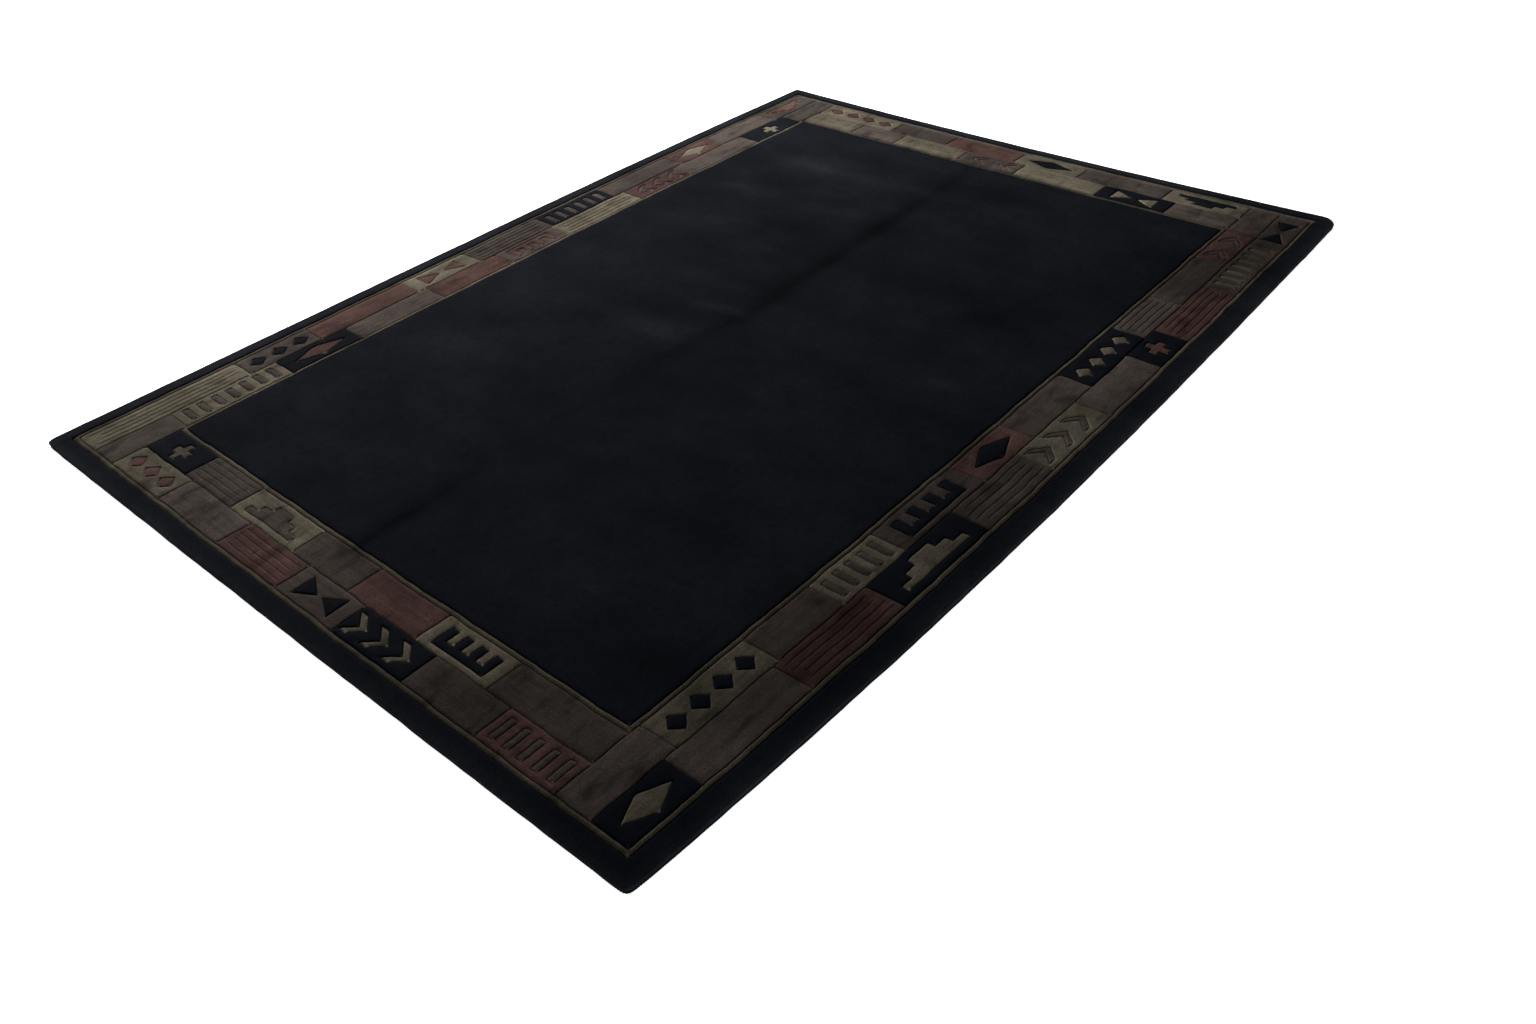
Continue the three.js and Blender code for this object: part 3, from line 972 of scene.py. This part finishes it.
points = [laid(x, y, top)]
spread = [flat]
faces = list(triangles)
above = edge_of_top
run = 0.0
last = (RIM_INSETS[0], float(top[edge_of_top].mean()))
for row in PILE_SIDE:
    ring = ring_at(stations, row["inset"])
    swell = hills(RIM_HILLS, *ring.T) * (row["inset"] < NIP_FROM)
    ring = ring + stations[1] * swell[:, None]
    run += math.hypot(row["inset"] - last[0], row["height"] - last[1])
    last = (row["inset"], row["height"])
    first = sum(map(len, points))
    points.append(laid(*ring.T, row["height"]))
    spread.append(ring_at(stations, RIM_INSETS[0] - run))
    here = [first + i for i in range(count)]
    faces += [(above[i], here[i], here[(i + 1) % count], above[(i + 1) % count]) for i in range(count)]
    above = here
faces.append(tuple(reversed(above)))
pile = new_piece("rug_pile", np.concatenate(points), faces)
spread_map(pile, np.concatenate(spread))

# %% [markdown]
# ## Yarn colours on the faces
#
# The yarn's colour is stored on the mesh, one for each face corner, with the depth of the carving and the
# painted light and shade of the turned pile on each point. The material reads all three.

# %% Yarn colours on the faces
def store(piece, name, values):
    """Keep one number for each point of a piece, for its material to read."""
    layer = piece.data.attributes.new(name, "FLOAT", "POINT")
    layer.data.foreach_set("value", values)


def colour_faces(piece, flat_points):
    """Store each face's yarn colour on its corners, and count the faces of each yarn."""
    mesh = piece.data
    corners = point_of_corners(piece)
    starts = np.empty(len(mesh.polygons), int)
    mesh.polygons.foreach_get("loop_start", starts)
    middles = np.add.reduceat(flat_points[corners], starts, axis=0)
    sizes = np.diff(np.append(starts, len(corners)))
    yarn, lot = yarn_at(*(middles / sizes[:, None]).T)
    dyed = WOOL[yarn] * lot[:, None]
    dyed[:, 3] = 1
    colour = mesh.attributes.new("yarn", "FLOAT_COLOR", "CORNER")
    colour.data.foreach_set("color", np.repeat(dyed, sizes, axis=0).ravel())
    return dict(zip(YARNS, np.bincount(yarn, minlength=len(YARNS)).tolist()))


flat_all = np.concatenate(spread)
print("faces of each yarn:", colour_faces(pile, flat_all))
not_carved = np.zeros(len(flat_all) - len(carved))
store(pile, "carved", np.concatenate([carved / GROOVES["guard"]["depth"], not_carved]))
# The painted light and shade of the pile, with its turned nap, kept on each point.
store(pile, "nap_and_painted_light", nap_and_painted_light_tone(*flat_all.T))

# %% [markdown]
# ## The back of the rug
#
# Turned over, a knotted rug shows its pattern again, each knot a small bead of its own yarn between rows
# of weft. The back is a thin slab, flat because it rests on the floor. It needs points only where its
# colours change, so its net is the routes alone and a wide grid. Its relief is finer than a mesh can
# hold, so that stays with its material.

# %% Back
BACK_TOP, BACK_UNDER, BACK_INSET = 4.0, 0.1, 3.4
BACK_STEP, BACK_ROUTE_STEP, BACK_GRID_FROM = 45, 200, 20
BACK_EDGE_STEP, BACK_CORNER_STEPS = 40, 6

back_rim = ring_at(edge_stations(BACK_EDGE_STEP, BACK_CORNER_STEPS), BACK_INSET)
back_count = len(back_rim)
block_routes = [route for route in routes if route[0] != "reed"]
back_points, back_edges = route_points(block_routes, BACK_ROUTE_STEP)
back_net = np.concatenate([back_rim, back_points, grid_points(BACK_STEP, BACK_GRID_FROM, WIDTH)])
held = [(i, (i + 1) % back_count) for i in range(back_count)]
held += [(back_count + a, back_count + b) for a, b in back_edges]
back_flat, back_faces, back_station = join_net(back_net, held, back_count)

upper = len(back_flat)
under = [face[::-1] for face in back_faces]
over = [tuple(upper + i for i in face) for face in back_faces]
walls = [(a, b, upper + b, upper + a) for a, b in zip(back_station, back_station[1:] + back_station[:1])]
back = new_piece("rug_back", np.concatenate(
    [laid(*back_flat.T, BACK_UNDER), laid(*back_flat.T, BACK_TOP)]), under + over + walls)
colour_faces(back, np.concatenate([back_flat, back_flat]))

# %% [markdown]
# A picture map for a slab has its two sides next to each other and its wall as a thin strip, so no point
# of the picture stands for two places of the cloth.

# %% Map of the back
MAP_HALVES = ((0.01, 0.49), (0.51, 0.99))
MAP_FLOOR, MAP_HEIGHT = 0.02, 0.9
MAP_SIDE = 0.01
WALL_STRIP = (0.95, 0.98)


def square_up(flat_points, left, right):
    """Flat points as places on a picture, between two shares of its width."""
    u = left + (right - left) * (flat_points[:, 0] / LENGTH + 0.5)
    v = MAP_FLOOR + MAP_HEIGHT * (flat_points[:, 1] / WIDTH + 0.5)
    return np.stack([u, v], 1)


sides = np.concatenate([square_up(back_flat, *half) for half in MAP_HALVES])
places = sides[point_of_corners(back)]
first_wall = 3 * (len(under) + len(over))
low, high = WALL_STRIP
for i in range(back_count):
    left, right = (MAP_SIDE + (1 - 2 * MAP_SIDE) * (i + step) / back_count for step in (0, 1))
    corner = first_wall + 4 * i
    places[corner:corner + 4] = [(left, low), (right, low), (right, high), (left, high)]
back.data.uv_layers.new(name="OFBake").data.foreach_set("uv", places.ravel())
print(len(walls), "faces in the wall's strip")

# %% [markdown]
# ## The overcast edge
#
# A finisher binds the selvedge by winding black wool round it, stitch beside stitch, all the way round.
# It could be thousands of small rings, but most of each would be buried. Instead one tube runs round the
# rug and swells and shrinks with every turn of yarn. The turns lean a little, as wound yarn does, by
# starting later at the bottom of the tube than at its top.

# %% Overcast edge
STITCH = 3.6
STEPS_PER_STITCH = 4
STITCH_LEAN = 0.9
STITCH_SWELL, MEAN_SWELL = 0.16, 0.6
LOWEST = 0.05
CORD = read_table("""
inset  height
6.6    3.9
4.2    4.3
2.3    3.9
1.0    2.9
0.7    1.7
1.4    0.7
3.2    0.3
6.6    0.4
""")
CORD_MIDDLE = np.array([4.4, 2.2])
CORD_HILLS = read_table("""
height  width  seed
0.25    9      4.4
""")

corner_stitches = round(CORNER_RADIUS / STITCH * math.pi / 2)
fine = edge_stations(STITCH / STEPS_PER_STITCH, STEPS_PER_STITCH * corner_stitches)
fine_count = len(fine[0])
phase = np.arange(fine_count) * 2 * math.pi / STEPS_PER_STITCH
wander = 1 + hills(CORD_HILLS, *ring_at(fine, 0).T)
levels = len(CORD)
cord_points = []
for level, row in enumerate(CORD):
    lean = STITCH_LEAN * level / levels * math.pi
    swell = STITCH_SWELL * wander * (np.abs(np.sin((phase + lean) / 2)) - MEAN_SWELL)
    reach = (np.array([row["inset"], row["height"]]) - CORD_MIDDLE) * (1 + swell[:, None])
    inset, height = (CORD_MIDDLE + reach).T
    ring = fine[0] + fine[1] * (CORNER_RADIUS - inset)[:, None]
    cord_points.append(laid(*ring.T, np.maximum(height, LOWEST)))
cord_faces = []
for level in range(levels):
    here, below = level * fine_count, (level + 1) % levels * fine_count
    cord_faces += [(here + i, below + i, below + (i + 1) % fine_count, here + (i + 1) % fine_count)
                   for i in range(fine_count)]
overcast = new_piece("overcast_edge", np.concatenate(cord_points), cord_faces)

# %% [markdown]
# The picture map of so long and thin a piece is cut into rows, laid one over the other like lines of
# text.

# %% Map of the overcast edge
MAP_ROWS = 16
ROW_FROM, ROW_SHARE = 0.08, 0.84

per_row = math.ceil(fine_count / MAP_ROWS)
level, station = np.divmod(np.arange(len(cord_faces)), fine_count)
row, spot = np.divmod(station, per_row)
u = MAP_SIDE + (1 - 2 * MAP_SIDE) * np.stack([spot, spot, spot + 1, spot + 1], 1) / per_row
up = np.stack([level, level + 1, level + 1, level], 1) / levels
v = (row[:, None] + ROW_FROM + ROW_SHARE * up) / MAP_ROWS
overcast.data.uv_layers.new(name="OFBake").data.foreach_set("uv", np.stack([u, v], 2).ravel())
print(per_row, "stations in each row of the map")

# %% [markdown]
# ## Writing a material as sums
#
# A material is a graph of nodes, but most of it is arithmetic: this noise times that mask. A small class
# that wraps a node's socket lets Python's own signs build that arithmetic, one Math node for each. Every
# other node comes from one method that takes its type, its settings and its inputs.

# %% Shader sockets that can be added and multiplied
class Wire:
    """One output of a node, which adds the Math nodes for a sum written with it."""

    def __init__(self, shader, socket):
        self.shader, self.socket = shader, socket

    def maths(self, operation, *values):
        inputs = dict(enumerate(values))
        return self.shader.node("ShaderNodeMath", {"operation": operation}, inputs)["Value"]

    def __add__(self, other):
        return self.maths("ADD", self, other)

    def __sub__(self, other):
        return self.maths("SUBTRACT", self, other)

    def __rsub__(self, other):
        return self.maths("SUBTRACT", other, self)

    def __mul__(self, other):
        return self.maths("MULTIPLY", self, other)

    __radd__, __rmul__ = __add__, __mul__


# %% A shader and its nodes
class Shader:
    """A new material, and the ways to put nodes in it."""

    def __init__(self, name):
        self.material = bpy.data.materials.new(name)
        self.material.use_nodes = True
        self.tree = self.material.node_tree
        self.surface = self.tree.nodes["Principled BSDF"]

    def node(self, kind, settings=None, inputs=None):
        """Add a node, set it up, fill its inputs, and hand back its outputs by name."""
        node = self.tree.nodes.new(kind)
        for name, value in (settings or {}).items():
            setattr(node, name, value)
        self.fill(node, inputs or {})
        return {socket.name: Wire(self, socket) for socket in node.outputs if socket.enabled}

    def fill(self, node, inputs):
        for name, value in inputs.items():
            if isinstance(value, Wire):
                self.tree.links.new(value.socket, node.inputs[name])
            else:
                node.inputs[name].default_value = value

    def stored(self, name):
        """What the mesh keeps under a name: a colour and a number."""
        return self.node("ShaderNodeAttribute", {"attribute_name": name})

    def place(self):
        """The place on the object itself, in metres."""
        return self.node("ShaderNodeTexCoord")["Object"]

    def noise(self, place, scale, detail=2.0, stretch=(1, 1, 1)):
        """Noise from 0 to 1, with scale hills in a metre."""
        stretched = self.node("ShaderNodeVectorMath", {"operation": "MULTIPLY"}, {0: place, 1: stretch})
        return self.node("ShaderNodeTexNoise", {}, {
            "Vector": stretched["Vector"], "Scale": scale, "Detail": detail, "Roughness": 0.55})["Fac"]

    def swing(self, noise, amount):
        """A factor round about 1, which swings by an amount over the whole of a noise."""
        return (1 - amount / 2) + amount * noise

    def ramp(self, value, low, high):
        """0 below low, 1 above high, and smooth between."""
        return self.node("ShaderNodeMapRange", {"interpolation_type": "SMOOTHSTEP"}, {
            "Value": value, "From Min": low, "From Max": high})["Result"]

    def reach(self, place, axis):
        """How far a place is from the middle along one axis."""
        part = self.node("ShaderNodeSeparateXYZ", {}, {"Vector": place})[axis]
        return part.maths("ABSOLUTE", part)

    def mix(self, share, first, second):
        """Two colours mixed by a share."""
        return self.node("ShaderNodeMix", {"data_type": "RGBA"}, {0: share, 6: first, 7: second})["Result"]

    def shade(self, colour, brightness):
        """A colour made lighter or darker by a number that may pass 1."""
        grey = self.node("ShaderNodeCombineXYZ", {}, {"X": brightness, "Y": brightness, "Z": brightness})
        return self.node("ShaderNodeVectorMath", {"operation": "MULTIPLY"}, {
            0: colour, 1: grey["Vector"]})["Vector"]

    def bump(self, strength, distance, height):
        """A surface raised in its material alone, by a height from 0 to 1 times a distance in metres."""
        return self.node("ShaderNodeBump", {}, {
            "Strength": strength, "Distance": distance, "Height": height})["Normal"]


# %% [markdown]
# ## The pile's wool
#
# Pile is seen end on: thousands of cut tips, each a little lighter or darker, in small clumps, under
# broad cloudy patches where feet and folding have turned the nap. All of it stays on the object's own
# coordinates. The dye drifts in bands across the rug, and the rows of knots show as faint lines, which
# run along each side of the border. Lines and wisps of paler and darker spinning show most in the dyed
# yarns.

# %% Grain of the pile
TUFTS, CLUMPS, PATCHES, CLOUDS = 380, 55, 12, 4.2
KNOT_LINES, DYE_BANDS, WISPS = 120, 9, 24
ALONG_X, ALONG_Y = (0.06, 1, 1), (1, 0.06, 1)
SIDE_FROM, SIDE_TO = (LENGTH / 2 - FIELD_BAND) * MM, (WIDTH / 2 - FIELD_BAND + GUARD_WIDTH) * MM
SIDE_BLUR = 0.004
SWINGS = {"tufts": 1.3, "clumps": 0.6, "patches": 0.6, "clouds": 1.1, "bands": 0.3}
LINES_IN_BLACK, MORE_IN_DYED, WISPS_DARK = 0.3, 0.5, 0.45


def knot_lines(shader, place):
    """Faint lines along the rug's length, and across it in the borders of the short sides."""
    past_field = shader.ramp(shader.reach(place, "X"), SIDE_FROM, SIDE_FROM + SIDE_BLUR)
    in_side = 1 - shader.ramp(shader.reach(place, "Y"), SIDE_TO - SIDE_BLUR, SIDE_TO)
    across = past_field * in_side
    return (1 - across) * shader.noise(place, KNOT_LINES, 2, ALONG_X) + across * shader.noise(
        place, KNOT_LINES, 2, ALONG_Y)


def grain(shader, place, tufts, clumps, dyed):
    """How light each spot of the pile is, from single tufts up to clouds as wide as a hand."""
    patches = shader.noise(place, PATCHES, 1, (1.6, 1, 1))
    clouds = shader.noise(place, CLOUDS, 1, (1.3, 1, 1))
    bands = shader.noise(place, DYE_BANDS, 2, (1, 0.05, 1))
    wisps = shader.ramp(shader.noise(place, WISPS, 4, (0.6, 1.3, 1)), 0.5, 0.72)
    fine = shader.swing(tufts, SWINGS["tufts"]) * shader.swing(clumps, SWINGS["clumps"])
    broad = shader.swing(clouds, SWINGS["clouds"]) * shader.swing(patches, SWINGS["patches"])
    spinning = shader.swing(bands, SWINGS["bands"]) * (1 - WISPS_DARK * dyed * wisps)
    lines = 1 + (LINES_IN_BLACK + MORE_IN_DYED * dyed) * (knot_lines(shader, place) - 0.5)
    return fine * broad * spinning * lines


print("tufts", round(1000 / TUFTS, 1), "mm, clouds", round(1000 / CLOUDS), "mm wide")

# %% [markdown]
# The grooves are painted darker, a painted shade where the tips are turned away from the light, and along
# their lips the fanned tips are painted lighter, partly their paler cut ends and partly a painted
# highlight.
# The black wool alone changes hue with its painted light: it is greyer under the painted highlights and
# bluer in the painted shade. Its sheen and gloss are almost nothing, the same all over, because against
# wool this dark even a little haze would hide the pile. The far side looks lighter mostly by the lamps; the
# painted bands and the border's painted gradient add to it.

# %% Wool of the pile
HAZE = (0.62, 0.66, 0.74, 1)
HIGHLIGHT_GREY = (0.0054, 0.0058, 0.0069, 1)
SHADE_BLUE = (0.0041, 0.0056, 0.0086, 1)
PAINTED_SHADE_RANGE, PAINTED_HIGHLIGHT_RANGE = (0.5, 1.15), (1.1, 2.0)
HIGHLIGHT_GREY_SHARE = 0.8
DYED_RED = (0.01, 0.03)
LIP_PAINTED_HIGHLIGHT, GROOVE_PAINTED_SHADE = 0.35, 0.65
PILE_BUMP = 0.0012


def wool_of_the_pile():
    shader = Shader("wool_pile")
    place = shader.place()
    yarn = shader.stored("yarn")["Color"]
    carved = shader.stored("carved")["Fac"]
    nap_and_painted_light = shader.stored("nap_and_painted_light")["Fac"]
    red = shader.node("ShaderNodeSeparateColor", {}, {"Color": yarn})["Red"]
    dyed = shader.ramp(red, *DYED_RED)

    tufts = shader.noise(place, TUFTS, 1.5)
    clumps = shader.noise(place, CLUMPS, 3)
    # Painted shade in the grooves, and a painted highlight along their lips, partly the paler cut ends.
    lip = 4 * carved * (1 - carved)
    groove = (1 + LIP_PAINTED_HIGHLIGHT * lip) * (1 - GROOVE_PAINTED_SHADE * shader.ramp(carved, 0.4, 1))
    brightness = nap_and_painted_light * grain(shader, place, tufts, clumps, dyed) * groove

    # A bluer copy of the black wool in the painted shade, and a greyer one under the painted highlights.
    painted_shade_share = (1 - shader.ramp(nap_and_painted_light, *PAINTED_SHADE_RANGE)) * (1 - dyed)
    painted_highlight_share = HIGHLIGHT_GREY_SHARE * shader.ramp(nap_and_painted_light, *PAINTED_HIGHLIGHT_RANGE) * (1 - dyed)
    wool = shader.mix(painted_highlight_share, shader.mix(painted_shade_share, yarn, SHADE_BLUE), HIGHLIGHT_GREY)
    shader.fill(shader.surface, {
        "Base Color": shader.shade(wool, brightness),
        "Roughness": 0.85,
        "Specular IOR Level": 0.006,
        "Sheen Weight": 0.002,
        "Sheen Roughness": 0.4,
        "Sheen Tint": HAZE,
        "Normal": shader.bump(0.8, PILE_BUMP, tufts + 0.8 * clumps),
    })
    return shader.material


pile.data.materials.append(wool_of_the_pile())
print("pile's material:", len(pile.data.materials[0].node_tree.nodes), "nodes")

# %% [markdown]
# ## The knots on the back, and the binding wool
#
# On the back the knots stand in straight rows, each a bead a few millimetres long, and the cotton weft
# shows between the rows as fine pale lines. Two waves, one each way, multiplied, give the beads, and paint
# them lighter on top and darker between, a painted shade between the beads. The binding wool is the
# field's black, with a fine fibrous grain.

# %% Wool of the back
KNOT_ACROSS, KNOT_ALONG = 2.6, 3.0
BACK_CLUMPS = 40
COTTON = (0.10, 0.095, 0.085, 1)
BACK_BUMP = 0.0006


def swell_of_knots(part, knot):
    """A wave along one axis, from 0 between knots to 1 on top of each."""
    angle = part * (math.pi / (knot * MM))
    wave = angle.maths("SINE", angle)
    return wave * wave


def wool_of_the_back():
    shader = Shader("knotted_back")
    place = shader.place()
    parts = shader.node("ShaderNodeSeparateXYZ", {}, {"Vector": place})
    along = swell_of_knots(parts["X"], KNOT_ALONG)
    across = swell_of_knots(parts["Y"], KNOT_ACROSS)
    knot = along * (0.4 + 0.6 * across)
    # The beads are painted lighter on top and darker between them: painted light and shade.
    brightness = (0.8 + 0.9 * knot) * shader.swing(shader.noise(place, BACK_CLUMPS, 3), 0.6)
    wool = shader.shade(shader.stored("yarn")["Color"], brightness)
    weft = shader.ramp(1 - along, 0.75, 1) * 0.35
    shader.fill(shader.surface, {
        "Base Color": shader.mix(weft, wool, COTTON),
        "Roughness": 0.92,
        "Specular IOR Level": 0.1,
        "Normal": shader.bump(0.7, BACK_BUMP, knot),
    })
    return shader.material


# %% Wool of the edge
FIBRES, CORD_CLUMPS = 900, 70
CORD_BUMP = 0.0005


def wool_of_the_edge():
    shader = Shader("binding_wool")
    place = shader.place()
    fibres = shader.noise(place, FIBRES, 2)
    clumps = shader.noise(place, CORD_CLUMPS, 2)
    black = tuple(WOOL[YARNS["black"]][:3])
    shader.fill(shader.surface, {
        "Base Color": shader.shade(black, (0.35 + 0.7 * fibres) * (0.6 + 0.6 * clumps)),
        "Roughness": 0.9,
        "Specular IOR Level": 0.08,
        "Normal": shader.bump(0.6, CORD_BUMP, fibres),
    })
    return shader.material


back.data.materials.append(wool_of_the_back())
overcast.data.materials.append(wool_of_the_edge())
print("materials:", [piece.data.materials[0].name for piece in (pile, back, overcast)])

# %% [markdown]
# ## The floor, and the pieces on one body
#
# The floor is plain and pale, and glows a little, so that it shows white without strong lamps on the dark
# wool. All three pieces ride on the rug's one body. The pile stands for the solid, which is hidden, and the
# whole is one sheet of cloth, laid flat on the floor, 1.70 m by 2.40 m.

# %% Floor
FLOOR_HALF = 7.0
FLOOR_PALE = (0.86, 0.86, 0.86, 1)
FLOOR_GLOW = 0.9

floor_mesh = bpy.data.meshes.new("floor")
floor_corners = [(FLOOR_HALF * x, FLOOR_HALF * y, 0) for x, y in ((-1, -1), (1, -1), (1, 1), (-1, 1))]
floor_mesh.from_pydata(floor_corners, [], [(0, 1, 2, 3)])
floor = bpy.data.objects.new("floor", floor_mesh)
bpy.context.scene.collection.objects.link(floor)
floor_paint = Shader("pale_floor")
floor_paint.fill(floor_paint.surface, {
    "Base Color": FLOOR_PALE, "Roughness": 0.9,
    "Emission Color": (1, 1, 1, 1), "Emission Strength": FLOOR_GLOW})
floor_mesh.materials.append(floor_paint.material)
print("floor", 2 * FLOOR_HALF, "m wide")

# %% How the pieces belong together
for piece in (pile, back, overcast):
    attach(piece, "root")
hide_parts(RUG)

# %% [markdown]
# ## Studio light
#
# The light is soft and comes from behind: the far border looks hazy and pale, and the near edge is almost
# black. Three wide low lamps stand past the far sides like windows, each aimed at a part of the rug, and
# a weak one near the floor lights the pile's near side. Lamps could also fill the shadows, but a faint
# white world does it with no shadows of its own. The camera alone sees that world at full white, so the
# background stays as white as the floor.

# %% Lamps
LAMPS = read_table("""
name                x     y     z    aim_x  aim_y  length  depth  watts
window_light        0.9   2.6   1.5  0.3    0.4    4.0     1.2    127
far_window_light    0     4.2   1.6  0      2.0    4.0     1.2    156
right_window_light  2.6   1.8   1.5  0.8    0.5    1.5     1.2    46
low_front_light     -0.8  -3.2  0.4  0      -0.85  3.0     0.4    40
""")

for row in LAMPS:
    lamp = bpy.data.objects.new(row["name"], bpy.data.lights.new(row["name"], "AREA"))
    lamp.data.shape = "RECTANGLE"
    lamp.data.size, lamp.data.size_y = row["length"], row["depth"]
    lamp.data.energy = row["watts"]
    lamp.location = (row["x"], row["y"], row["z"])
    aim = Vector((row["aim_x"], row["aim_y"], 0)) - lamp.location
    lamp.rotation_euler = aim.to_track_quat("-Z", "Y").to_euler()
    bpy.context.scene.collection.objects.link(lamp)
print(len(LAMPS), "lamps,", sum(row["watts"] for row in LAMPS), "W in all")

# %% World
SHADOW_FILL, SEEN_WHITE = 0.1, 1.0

world = bpy.data.worlds.new("studio")
world.use_nodes = True
nodes, links = world.node_tree.nodes, world.node_tree.links
seen = nodes.new("ShaderNodeLightPath").outputs["Is Camera Ray"]
strength = nodes.new("ShaderNodeMapRange")
strength.inputs["To Min"].default_value = SHADOW_FILL
strength.inputs["To Max"].default_value = SEEN_WHITE
links.new(seen, strength.inputs["Value"])
links.new(strength.outputs["Result"], nodes["Background"].inputs["Strength"])
nodes["Background"].inputs["Color"].default_value = (1, 1, 1, 1)
bpy.context.scene.world = world
bpy.context.scene.view_settings.view_transform = "Standard"
print("world fills shadows at", SHADOW_FILL)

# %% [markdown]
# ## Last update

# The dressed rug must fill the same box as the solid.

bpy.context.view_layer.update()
